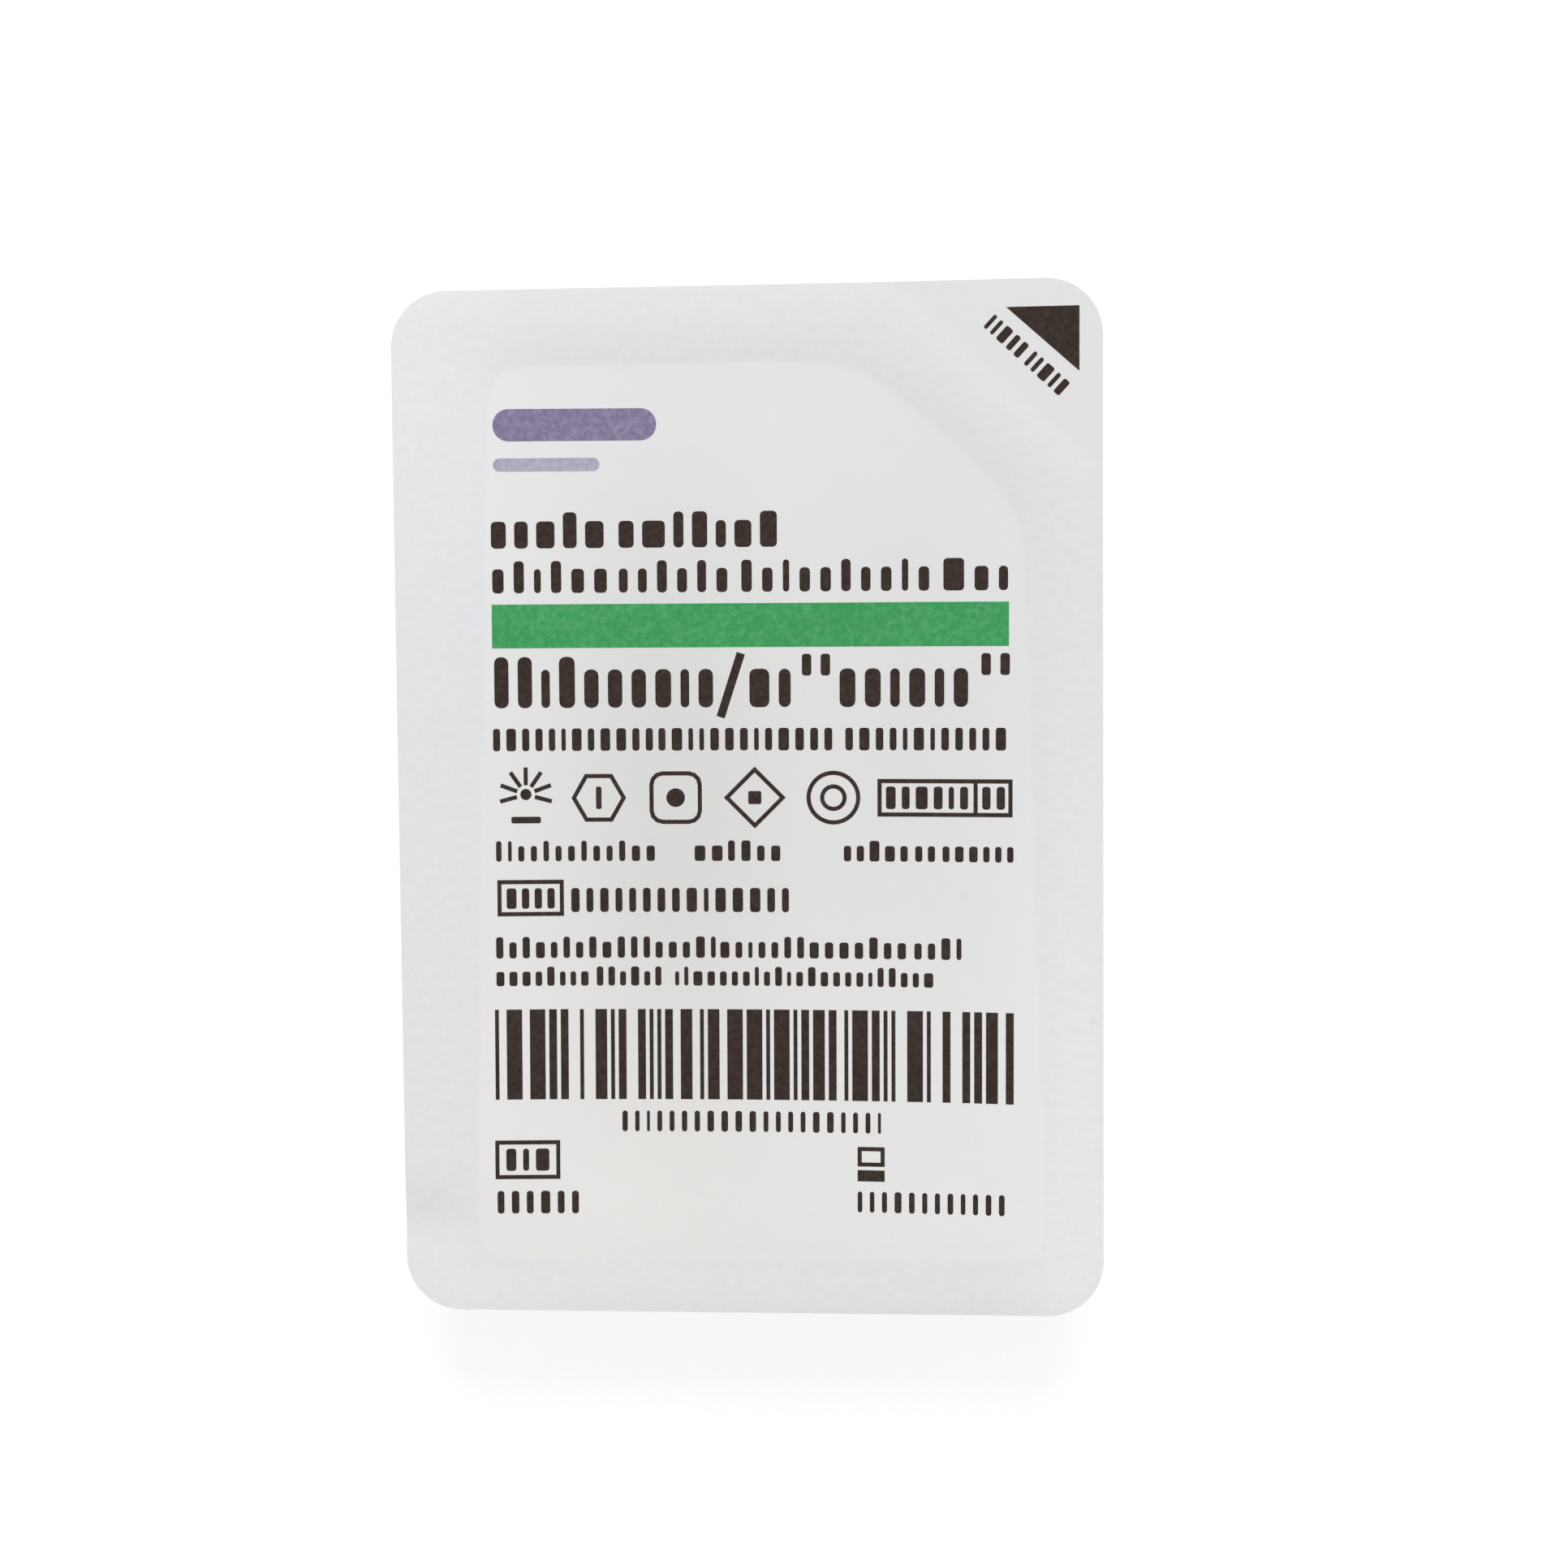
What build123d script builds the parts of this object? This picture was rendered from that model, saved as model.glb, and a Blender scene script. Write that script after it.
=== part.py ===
"""Sealed peel pack of a winged needle set: a paper lid on a formed film tray, as one closed solid.

The pack lies on its tray, lid up. The origin is at the middle of the tray's floor, +Y points to
the head of the printed lid, and the corner that peels open is at +X, +Y.
"""

import os
from math import cos, radians, sin

from build123d import *

# Die-cut outline of the pack, in millimetres
pack_width = 75.5
pack_length = 110.0
pack_corner_radius = 6.0

# The two webs that are sealed together round the edge
paper_thickness = 0.15
film_thickness = 0.25

# Width of the heat seal along each side, at mid-length for the two long ones, which spread
# towards the foot by the taper in degrees, and the radius of the seal's inner corners
seal_left = 9.1
seal_right = 7.4
seal_taper = 1.6
seal_top = 8.0
seal_bottom = 5.7
seal_diagonal = 8.2
seal_corner_radius = 4.5

# Unsealed corner: its reach along the top edge and down the right edge, and how far
# its film leaf hangs away from the paper, in degrees
peel_top = 22.0
peel_side = 20.0
peel_droop = 4.0

# Formed pocket below the flange, with its draft in degrees
pocket_depth = 14.0
pocket_draft = 9.0
pocket_rim_radius = 1.2
pocket_floor_radius = 3.5
pocket_corner_radius = 5.0

# The lid sinks a little over the pocket, down a soft slope beside the seal
dish_depth = 0.3
dish_slope = 2.4

# Heights of the webs, with the tray's floor at zero
flange_bottom = pocket_depth
paper_bottom = flange_bottom + film_thickness
lid_top = paper_bottom + paper_thickness

# Edges of the pack
right_edge = pack_width / 2
top_edge = pack_length / 2

# The peel line crosses the corner from the top edge to the right edge
peel_start = Vector(right_edge - peel_top, top_edge)
peel_end = Vector(right_edge, top_edge - peel_side)
peel_direction = (peel_end - peel_start).normalized()
peel_outward = Vector(-peel_direction.Y, peel_direction.X)


# Sides of the seal's inner edge, anticlockwise, each as a point on it and its direction;
# the fourth one is parallel to the peel line
spread_x = sin(radians(seal_taper))
spread_y = cos(radians(seal_taper))
seal_sides = [
    (Vector(seal_left - right_edge, 0), Vector(-spread_x, -spread_y)),
    (Vector(0, seal_bottom - top_edge), Vector(1, 0)),
    (Vector(right_edge - seal_right, 0), Vector(-spread_x, spread_y)),
    (peel_start - peel_outward * seal_diagonal, -peel_direction),
    (Vector(0, top_edge - seal_top), Vector(-1, 0)),
]


def crossing(first, second):
    """Point where two lines cross, each given by a point and a direction."""
    (start, along), (other, across) = first, second
    return start + along * ((other - start).cross(across).Z / along.cross(across).Z)


def seal_outline(inset):
    """Face in the shape of the seal's inner edge, moved inwards by an inset, at height zero."""
    sides = [(point + Vector(-along.Y, along.X) * inset, along) for point, along in seal_sides]
    corners = [crossing(side, ahead) for side, ahead in zip(sides, sides[1:] + sides[:1])]
    with BuildSketch() as outline:
        with BuildLine():
            Polyline(*corners, close=True)
        make_face()
    return outline.sketch


def leaf_plane(height):
    """Plane through the peel line at a height, tilted down beyond it by the leaf's droop."""
    tilt = radians(peel_droop)
    normal = peel_outward * sin(tilt) + Vector(0, 0, cos(tilt))
    return Plane(origin=(peel_start.X, peel_start.Y, height), x_dir=peel_direction, z_dir=normal)


# Formed pocket: drafted walls that keep their size at the flange, rounded corners and floor
with BuildPart() as pocket:
    extrude(seal_outline(pocket_rim_radius), amount=flange_bottom)
    draft(pocket.faces().sort_by(Axis.Z)[1:-1], Plane.XY.offset(flange_bottom), -pocket_draft)
    fillet(pocket.edges().group_by(Axis.Z)[1], radius=pocket_corner_radius)
    fillet(pocket.faces().sort_by(Axis.Z)[0].edges(), radius=pocket_floor_radius)

# Film leaf of the unsealed corner, hanging away from the paper
with BuildPart() as film_leaf:
    with BuildSketch():
        RectangleRounded(pack_width, pack_length, pack_corner_radius)
        with BuildLine():
            Polyline(peel_start, peel_end, (right_edge, top_edge), close=True)
        make_face(mode=Mode.INTERSECT)
    extrude(amount=lid_top)
    split(bisect_by=leaf_plane(paper_bottom), keep=Keep.BOTTOM)
    split(bisect_by=leaf_plane(flange_bottom), keep=Keep.TOP)

with BuildPart() as sealed_pack:
    # Paper lid, cut to the whole outline
    with BuildSketch(Plane.XY.offset(paper_bottom)):
        RectangleRounded(pack_width, pack_length, pack_corner_radius)
    extrude(amount=paper_thickness)

    # Film flange, bonded to the lid as far as the peel line
    with BuildSketch(Plane.XY.offset(flange_bottom)):
        RectangleRounded(pack_width, pack_length, pack_corner_radius)
        with BuildLine():
            Polyline(peel_start, peel_end, (right_edge, top_edge), close=True)
        make_face(mode=Mode.SUBTRACT)
    extrude(amount=film_thickness)
    add(film_leaf.part)

    # The pocket runs into the flange with a rounded rim
    add(pocket.part)
    underside = sealed_pack.faces().filter_by(Plane.XY).sort_by(Axis.Z)[1]
    fillet(underside.inner_wires()[0].edges(), radius=pocket_rim_radius)

    # Shallow dish of the lid over the pocket
    with BuildSketch(Plane.XY.offset(lid_top)) as dish_edge:
        add(seal_outline(0))
        fillet(dish_edge.vertices(), radius=seal_corner_radius)
    with BuildSketch(Plane.XY.offset(lid_top - dish_depth)) as dish_floor:
        add(seal_outline(dish_slope))
        fillet(dish_floor.vertices(), radius=seal_corner_radius)
    loft(mode=Mode.SUBTRACT)

os.makedirs("parts", exist_ok=True)
sealed_pack.part.label = "sealed_pack"
export_step(sealed_pack.part, "parts/sealed_pack.step")
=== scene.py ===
"""Looks of the sealed needle pack: paper lid, formed film tray and plain print, in soft studio light."""

import math
import random

import bmesh
import bpy
import numpy as np
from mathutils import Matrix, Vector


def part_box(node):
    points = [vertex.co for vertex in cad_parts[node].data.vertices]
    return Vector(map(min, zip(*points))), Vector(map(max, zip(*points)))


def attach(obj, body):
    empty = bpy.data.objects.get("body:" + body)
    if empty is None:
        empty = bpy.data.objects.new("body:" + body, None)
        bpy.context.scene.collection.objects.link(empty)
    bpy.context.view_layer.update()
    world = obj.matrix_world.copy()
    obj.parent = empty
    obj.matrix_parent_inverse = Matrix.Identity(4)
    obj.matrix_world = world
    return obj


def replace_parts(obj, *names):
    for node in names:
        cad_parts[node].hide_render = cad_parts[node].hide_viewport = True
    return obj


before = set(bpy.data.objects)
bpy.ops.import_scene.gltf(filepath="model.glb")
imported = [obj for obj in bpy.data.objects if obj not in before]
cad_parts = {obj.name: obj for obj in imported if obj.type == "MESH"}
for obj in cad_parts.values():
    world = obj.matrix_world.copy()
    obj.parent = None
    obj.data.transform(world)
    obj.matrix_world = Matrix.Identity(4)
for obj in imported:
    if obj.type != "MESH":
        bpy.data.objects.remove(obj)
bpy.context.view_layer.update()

MM = 0.001


def mm(*values):
    """Lengths in millimetres, as metres."""
    return [v * MM for v in values]


# The pack's outline and lid height come from the frame
BODY = "root"
NODE = "sealed_pack"
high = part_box(NODE)[1]
half_width = high.x
half_length = high.y
lid_top = high.z

# Webs, seal and peel corner, as they are built in the solid
pack_corner_radius = 6.0 * MM
paper_thickness = 0.15 * MM
film_thickness = 0.25 * MM
flange_bottom = lid_top - paper_thickness - film_thickness
seal_left = 9.1 * MM
seal_right = 7.4 * MM
seal_taper = math.radians(1.6)
seal_top = 8.0 * MM
seal_bottom = 5.7 * MM
seal_diagonal = 8.2 * MM
peel_top = 22.0 * MM
peel_side = 20.0 * MM
peel_droop = math.radians(4.0)

# Formed pocket and dish, as they are built in the solid
pocket_draft = math.radians(9.0)
pocket_rim_radius = 1.2 * MM
pocket_floor_radius = 3.5 * MM
pocket_corner_radius = 5.0 * MM
dish_slope = 2.4 * MM

# Seal of the paper: crowned, soft at its edges and embossed; its inner fall grows from the foot upwards
seal_corner_softness = 1.6 * MM
seal_edge_softness = 0.5 * MM
crown_outer = 0.20 * MM
crown_inner = 0.24 * MM
crown_inner_run = 1.2 * half_length
emboss_height = 0.008 * MM
emboss_seed = 11
least_width = 0.001 * MM

# Panel of the paper: a bulge, slight waves and a raised foot, each fading out beside the seal
lid_cell = 0.44 * MM
bulge_height = 0.25 * MM
bulge_slope = 10.0 * MM
wave_height = 0.03 * MM
foot_rise = 0.06 * MM
foot_start = half_length / 2
foot_run = half_length / 3

# Waves of the panel, each as its rates along X and Y in radians per metre, and its phase
bulge_wave = (8.0, 68.0, -0.15)
first_wave = (150.0, -90.0, 1.9)
second_wave = (60.0, 140.0, 0.7)

# Lift of the paper's loose corner, and a crease at the left of the foot
peel_lift = math.radians(2.6)
crease_depth = 0.30 * MM
crease_centre = mm(-36.5, -45.4)
crease_reach = mm(6.5, 3.4)

# Soft tones of the panel, each as its centre, its reach and its tint; the loose corner has one tone
left_cloud = (mm(-8.0, 3.0), mm(14.0, 39.0), (0.890, 0.890, 0.890))
right_cloud = (mm(18.0, 10.5), mm(10.5, 48.0), (0.957, 0.957, 0.957))
warm_foot = (mm(-8.7, -34.6), mm(30.0, 50.0), (1.0, 0.990, 0.964))
panel_tones = [left_cloud, right_cloud, warm_foot]
corner_tone = 0.977

# Soft tones of the whole lid, in the same form; the paler spots at the upper left, lower right, lower left
# and foot are painted light, and the greyer spot at the upper right is painted shade
painted_light_upper_left = (mm(-35.0, 44.5), mm(11.0, 20.0), (1.056, 1.056, 1.056))
painted_light_lower_right = (mm(35.0, -62.0), mm(5.2, 68.0), (1.063, 1.050, 1.056))
painted_light_lower_left = (mm(-38.0, -59.0), mm(19.0, 7.7), (1.080, 1.080, 1.080))
painted_light_foot_patch = (mm(-14.5, -42.5), mm(7.2, 6.6), (1.030, 1.030, 1.030))
painted_shade_upper_right = (mm(26.0, 21.0), mm(25.0, 36.0), (0.969, 0.969, 0.969))
warm_left_side = (mm(-38.0, -22.0), mm(7.0, 32.0), (1.015, 1.006, 0.983))
# Painted shade in the crease at the left of the foot
crease_painted_shade = (mm(-36.5, -43.0), mm(5.0, 3.0), (0.978, 0.973, 0.962))
# The lid's own warm tone together with its painted light and shade
lid_tones_and_painted_light = [painted_light_upper_left, painted_light_lower_right, painted_light_lower_left, painted_light_foot_patch]
lid_tones_and_painted_light += [painted_shade_upper_right, warm_left_side, crease_painted_shade]

# Two faint specks in the paper, each as its place, its radius and its tone
edge_speck = (*mm(36.6, -23.2, 0.55), 0.90)
panel_speck = (*mm(23.0, -9.6, 0.75), 0.96)
specks = [edge_speck, panel_speck]

# Paper: its colours on the panel and across the seal, where the seal's inner edge is darker as painted
# shade, its grain in cells per metre, and its finish
panel_dark = (0.780, 0.780, 0.781, 1.0)
panel_light = (0.796, 0.796, 0.798, 1.0)
seal_outer = (0.770, 0.769, 0.786, 1.0)
# The seal's inner edge, darker as painted shade
seal_inner_painted_shade = (0.760, 0.758, 0.775, 1.0)
paper_cloud = 45.0
paper_flocs = 500.0
paper_pits = 1200.0
paper_fibre = 4200.0
floc_tone = 0.99
pit_tone = 0.975
fibre_tone = 0.985
panel_roughness = 0.62
seal_roughness = 0.52
paper_gloss = 0.3
paper_bump = 0.2
paper_relief = 0.02 * MM

# Film: its haze between two shades, its tint where it is drawn thin, its grain and its finish
film_dark = (0.80, 0.812, 0.825, 1.0)
film_light = (0.84, 0.848, 0.856, 1.0)
film_thin = (0.93, 0.945, 0.955, 1.0)
film_haze = 70.0
film_streaks = 260.0
film_pits = 1500.0
streak_stretch = 0.05
streak_tone = 0.955
film_least_roughness = 0.26
film_most_roughness = 0.34
film_ior = 1.5
film_coat = 0.7
film_coat_roughness = 0.06
film_bump = 0.3
film_relief = 0.06 * MM

# Inks: the colour of each where the paper's grain thins it and where it is full
black_thin = (0.053, 0.036, 0.030, 1.0)
black_full = (0.029, 0.018, 0.014, 1.0)
green_thin = (0.094, 0.388, 0.157, 1.0)
green_full = (0.040, 0.316, 0.093, 1.0)
violet_thin = (0.300, 0.270, 0.400, 1.0)
violet_full = (0.205, 0.175, 0.295, 1.0)
pale_thin = (0.490, 0.460, 0.560, 1.0)
pale_full = (0.400, 0.370, 0.480, 1.0)

# Finish of the inks, with their grain in cells per metre
ink_grain = 1800.0
green_grain = 1700.0
ink_wash = 180.0
wash_tone = 0.93
ink_least_roughness = 0.55
ink_most_roughness = 0.68
ink_gloss = 0.15
ink_bump = 0.2
ink_relief = 0.01 * MM

# Form of the film: its gap below the paper, its sagging and rippled walls, and its bent leaf
film_gap = 0.004 * MM
wall_sag = 0.35 * MM
wall_ripple = 0.35
ripple_waves = 2.5
ripple_step = 0.4
rim_zone = 0.4 * flange_bottom
tightest_corner = 1.2 * MM
leaf_hinge = 1.0 * MM
weld_distance = 0.0001 * MM

# Steps of the film's mesh; the peel line is the side after the third corner of its edge
side_steps = 24
arc_steps = 8
flange_steps = 6
profile_steps = 7
leaf_rows = 6
leaf_arc_steps = 24
line_start = 2 * (arc_steps + side_steps) + arc_steps
line_end = line_start + side_steps

# Print: thin slabs on the lid, turned a little about a level, with a bow that grows away from it
ink_thickness = 0.02 * MM
ink_sink = 0.03 * MM
turn_level = 20.0 * MM
print_turn = 0.0044
bow_rate = 0.0045
bow_reach = 27.0 * MM
print_cell = 1.2 * MM
pen = 0.44 * MM
symbol_rounding = 0.2 * MM

# Start and slant of the print beside the peel mark
peel_print_start = mm(25.3, 50.1)
peel_print_slant = math.radians(-43.0)

# Letter-sized blocks: shares of their widths, how many are tall, how high the others are, and their form
letter_seed = 5
letters = random.Random(letter_seed)
letter_shares = (0.6, 0.9, 1.0, 1.0, 1.1, 1.35)
tall_part = 0.32
short_height = 0.75
letter_rounding = 0.12
letter_pitch = 0.60

# Bars: their module, and the modules that a bar and a gap may have
bar_seed = 21
bar_module = 0.42 * MM
bar_widths = (1, 1, 2, 2, 3, 4)
bar_gaps = (1, 1, 1, 2, 3)

# Meshes: the sharp angle, steps of a small corner, points of a dot, and a side over its largest radius
sharp_angle = math.radians(40.0)
round_steps = 3
disc_points = 24
roundest = 2.01

# Floor, surround and lamp, in metres and watts
floor_reach = 1.6
floor_level = -0.02 * MM
floor_white = 0.85
floor_faint = 0.36
floor_glow = 0.70
surround_light = 0.72
surround_seen = 1.0
lamp_size = 1.4
lamp_power = 60.0
lamp_place = (0.2, 2.75, 2.4)

# Camera: its lens, its place above the lid and its angles in degrees
camera_lens = 50.0
camera_sensor = 36.0
camera_near = 0.01
camera_place = mm(19.62, 14.20, 245.65)
camera_angles = (-2.986, 3.846, -0.486)


# Plane geometry

def unit(vector):
    """A vector's direction."""
    return vector / np.linalg.norm(vector)


def left(vector):
    """A vector turned a quarter to the left."""
    return np.array((-vector[1], vector[0]))


def cross(first, second):
    """Cross product of two plane vectors."""
    return first[0] * second[1] - first[1] * second[0]


def on_circle(centre, radius, angle):
    """Point of a circle at an angle."""
    return centre + radius * np.array((math.cos(angle), math.sin(angle)))


def crossing(first, second):
    """Point where two lines cross, each given by a point and a direction."""
    (start, along), (other, across) = first, second
    return start + along * cross(other - start, across) / cross(along, across)


def round_corners(x, y, half_x, half_y, radius):
    """Pulls the square corners of a centred grid onto rounded corners."""
    u = (np.abs(x) - (half_x - radius)) / radius
    v = (np.abs(y) - (half_y - radius)) / radius
    inside = (u > 0) & (v > 0)
    pull = np.where(inside, np.maximum(u, v) / np.where(inside, np.hypot(u, v), 1.0), 1.0)
    round_x = np.sign(x) * (half_x - radius + u * pull * radius)
    round_y = np.sign(y) * (half_y - radius + v * pull * radius)
    return np.where(inside, round_x, x), np.where(inside, round_y, y)


# The peel line crosses the corner from the top edge to the right edge
peel_start = np.array((half_width - peel_top, half_length))
peel_end = np.array((half_width, half_length - peel_side))
peel_direction = unit(peel_end - peel_start)
peel_outward = left(peel_direction)

# Sides of the seal's inner edge, anticlockwise, each as a point on it and its direction
spread = np.array((-math.sin(seal_taper), math.cos(seal_taper)))
seal_sides = [
    (np.array((seal_left - half_width, 0.0)), np.array((spread[0], -spread[1]))),
    (np.array((0.0, seal_bottom - half_length)), np.array((1.0, 0.0))),
    (np.array((half_width - seal_right, 0.0)), spread),
    (peel_start - peel_outward * seal_diagonal, -peel_direction),
    (np.array((0.0, half_length - seal_top)), np.array((-1.0, 0.0))),
]


# Shape of the lid

def smooth_step(t):
    """Soft rise from zero to one as t goes from zero to one."""
    t = np.clip(t, 0.0, 1.0)
    return t * t * (3.0 - 2.0 * t)


def soft_spot(x, y, centre, reach):
    """One at a centre, fading out over a reach along each axis."""
    u = (x - centre[0]) / reach[0]
    v = (y - centre[1]) / reach[1]
    return np.exp(-u * u - v * v)


def wave(x, y, form):
    """A straight wave over the lid, from its rates along X and Y and its phase."""
    rate_x, rate_y, phase = form
    return np.sin(x * rate_x + y * rate_y + phase)


def peel_reach(x, y):
    """Distance beyond the peel line, negative on the sealed side."""
    return (x - peel_start[0]) * peel_outward[0] + (y - peel_start[1]) * peel_outward[1]


def seal_depth(x, y):
    """Distance inside the seal's inner edge, negative on the seal, with soft corners."""
    depths = np.array([cross(along, (x - point[0], y - point[1])) for point, along in seal_sides])
    nearest = depths.min(axis=0)
    crowd = np.exp(-(depths - nearest) / seal_corner_softness).sum(axis=0)
    return nearest - seal_corner_softness * np.log(crowd)


def edge_distance(x, y):
    """Distance inside the pack's rounded outline."""
    u = np.abs(x) - (half_width - pack_corner_radius)
    v = np.abs(y) - (half_length - pack_corner_radius)
    outside = np.hypot(np.maximum(u, 0.0), np.maximum(v, 0.0)) + np.minimum(np.maximum(u, v), 0.0)
    return pack_corner_radius - outside


def seal_across(x, y):
    """Place across the seal: zero at its outer edge or the peel line, one at its inner edge and beyond."""
    outer = np.maximum(np.minimum(edge_distance(x, y), -peel_reach(x, y)), 0.0)
    inner = np.maximum(-seal_depth(x, y), 0.0)
    return outer / np.maximum(outer + inner, least_width)


def past_edge(distance):
    """Zero before an edge of the seal and one past it, with a soft step between."""
    return smooth_step(0.5 + distance / seal_edge_softness)


def seal_share(x, y):
    """One on the bonded seal, zero on the panel and on the loose peel corner."""
    return (1.0 - past_edge(seal_depth(x, y))) * (1.0 - past_edge(peel_reach(x, y)))


def inner_fall(y):
    """Fall of the seal to its inner edge, which fades out towards the foot of the lid."""
    return crown_inner * smooth_step((y + half_length) / crown_inner_run)


def crown_fall(x, y):
    """Fall of the crowned seal from its middle to both of its edges."""
    across = seal_across(x, y)
    return np.where(across < 0.5, crown_outer, inner_fall(y)) * (2.0 * across - 1.0) ** 2


def panel_rise(x, y):
    """Bulge, waves and raised foot of the panel."""
    depth = seal_depth(x, y)
    bulge = bulge_height * wave(x, y, bulge_wave)
    waves = wave_height * wave(x, y, first_wave) * wave(x, y, second_wave)
    foot = foot_rise * smooth_step(depth / dish_slope) * smooth_step((-y - foot_start) / foot_run)
    return (bulge + waves) * smooth_step(depth / bulge_slope) + foot


def lid_height(x, y):
    """Height of the paper's upper face, without the seal's fine embossing."""
    crease = crease_depth * soft_spot(x, y, crease_centre, crease_reach)
    lift = np.maximum(peel_reach(x, y), 0.0) * math.tan(peel_lift)
    return lid_top - crown_fall(x, y) + panel_rise(x, y) - crease + lift


# Tones of the lid, with its painted light and shade

def soft_tone(x, y, tones):
    """Colour that a list of soft tones gives to each place."""
    colour = np.ones(x.shape + (3,))
    for centre, reach, tint in tones:
        colour *= 1.0 + soft_spot(x, y, centre, reach)[..., None] * (np.array(tint) - 1.0)
    return colour


def panel_tone(x, y):
    """Tone of the panel, and of the loose corner."""
    loose = past_edge(peel_reach(x, y))[..., None]
    return soft_tone(x, y, panel_tones) * (1.0 - loose) + corner_tone * loose


# Nodes of the materials

def empty_tree(owner):
    """The node tree of a material or a world, cleared."""
    owner.use_nodes = True
    owner.node_tree.nodes.clear()
    return owner.node_tree


def new_material(name):
    """A material with one Principled shader: the material, its node tree and the shader."""
    material = bpy.data.materials.new(name)
    tree = empty_tree(material)
    output = tree.nodes.new("ShaderNodeOutputMaterial")
    shader = tree.nodes.new("ShaderNodeBsdfPrincipled")
    tree.links.new(shader.outputs["BSDF"], output.inputs["Surface"])
    return material, tree, shader


def noise(tree, scale, detail=2.0, roughness=0.5, upright=1.0):
    """Noise over the pack, in cells per metre; an upright below one draws it out along Z."""
    place = tree.nodes.new("ShaderNodeTexCoord")
    stretch = tree.nodes.new("ShaderNodeMapping")
    stretch.inputs["Scale"].default_value = (1.0, 1.0, upright)
    node = tree.nodes.new("ShaderNodeTexNoise")
    node.inputs["Scale"].default_value = scale
    node.inputs["Detail"].default_value = detail
    node.inputs["Roughness"].default_value = roughness
    tree.links.new(place.outputs["Object"], stretch.inputs["Vector"])
    tree.links.new(stretch.outputs["Vector"], node.inputs["Vector"])
    return node.outputs["Fac"]


def as_colour(value):
    """A colour as it is, or the grey of a level."""
    return value if isinstance(value, tuple) else (value, value, value, 1.0)


def ramp(tree, factor, low_value, high_value, low_at=0.3, high_at=0.7):
    """Maps a factor onto two colours or two grey levels."""
    node = tree.nodes.new("ShaderNodeValToRGB")
    first, last = node.color_ramp.elements
    first.position = low_at
    last.position = high_at
    first.color = as_colour(low_value)
    last.color = as_colour(high_value)
    tree.links.new(factor, node.inputs["Fac"])
    return node.outputs["Color"]


def mix(tree, factor, first, second, blend="MIX"):
    """Mixes two colours by a factor, which may be a socket or a number."""
    node = tree.nodes.new("ShaderNodeMix")
    node.data_type = "RGBA"
    node.blend_type = blend
    colours = [socket for socket in node.inputs if socket.type == "RGBA"]
    tree.links.new(first, colours[0])
    tree.links.new(second, colours[1])
    if isinstance(factor, bpy.types.NodeSocket):
        tree.links.new(factor, node.inputs["Factor"])
    else:
        node.inputs["Factor"].default_value = factor
    return next(socket for socket in node.outputs if socket.type == "RGBA")


def multiply(tree, first, second):
    """Product of two colours."""
    return mix(tree, 1.0, first, second, "MULTIPLY")


def bump(tree, shader, heights, strength, distance):
    """Fine relief on the shader's normal."""
    node = tree.nodes.new("ShaderNodeBump")
    node.inputs["Strength"].default_value = strength
    node.inputs["Distance"].default_value = distance
    tree.links.new(heights, node.inputs["Height"])
    tree.links.new(node.outputs["Normal"], shader.inputs["Normal"])


def attribute(tree, name, output="Fac"):
    """A value stored on the piece's points, or a colour."""
    node = tree.nodes.new("ShaderNodeAttribute")
    node.attribute_name = name
    return node.outputs[output]


def height_share(tree, top):
    """Height in the pack: zero at its floor, one at a top."""
    place = tree.nodes.new("ShaderNodeTexCoord")
    axes = tree.nodes.new("ShaderNodeSeparateXYZ")
    share = tree.nodes.new("ShaderNodeMapRange")
    share.inputs["From Max"].default_value = top
    tree.links.new(place.outputs["Object"], axes.inputs["Vector"])
    tree.links.new(axes.outputs["Z"], share.inputs["Value"])
    return share.outputs["Result"]


def speck(tree, x, y, radius, tone):
    """A soft spot on the lid that is darker by a tone at its middle."""
    place = tree.nodes.new("ShaderNodeTexCoord")
    away = tree.nodes.new("ShaderNodeVectorMath")
    away.operation = "DISTANCE"
    away.inputs[1].default_value = (x, y, lid_top)
    share = tree.nodes.new("ShaderNodeMapRange")
    share.inputs["From Max"].default_value = radius
    tree.links.new(place.outputs["Object"], away.inputs[0])
    tree.links.new(away.outputs["Value"], share.inputs["Value"])
    return ramp(tree, share.outputs["Result"], tone, 1.0, low_at=0.0, high_at=1.0)


# Materials

def panel_colour(tree):
    """Neutral paper with faint clouds and the panel's own tones."""
    cloud = noise(tree, paper_cloud)
    shade = ramp(tree, cloud, panel_dark, panel_light, low_at=0.2, high_at=0.8)
    return multiply(tree, shade, attribute(tree, "panel_tone", "Color"))


def seal_colour(tree, pits):
    """Cooler paper, darkened towards the seal's inner edge by painted shade, finely pitted."""
    across = attribute(tree, "across")
    band = ramp(tree, across, seal_outer, seal_inner_painted_shade, low_at=0.1, high_at=1.0)
    return multiply(tree, band, ramp(tree, pits, pit_tone, 1.0, low_at=0.35, high_at=0.65))


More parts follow.
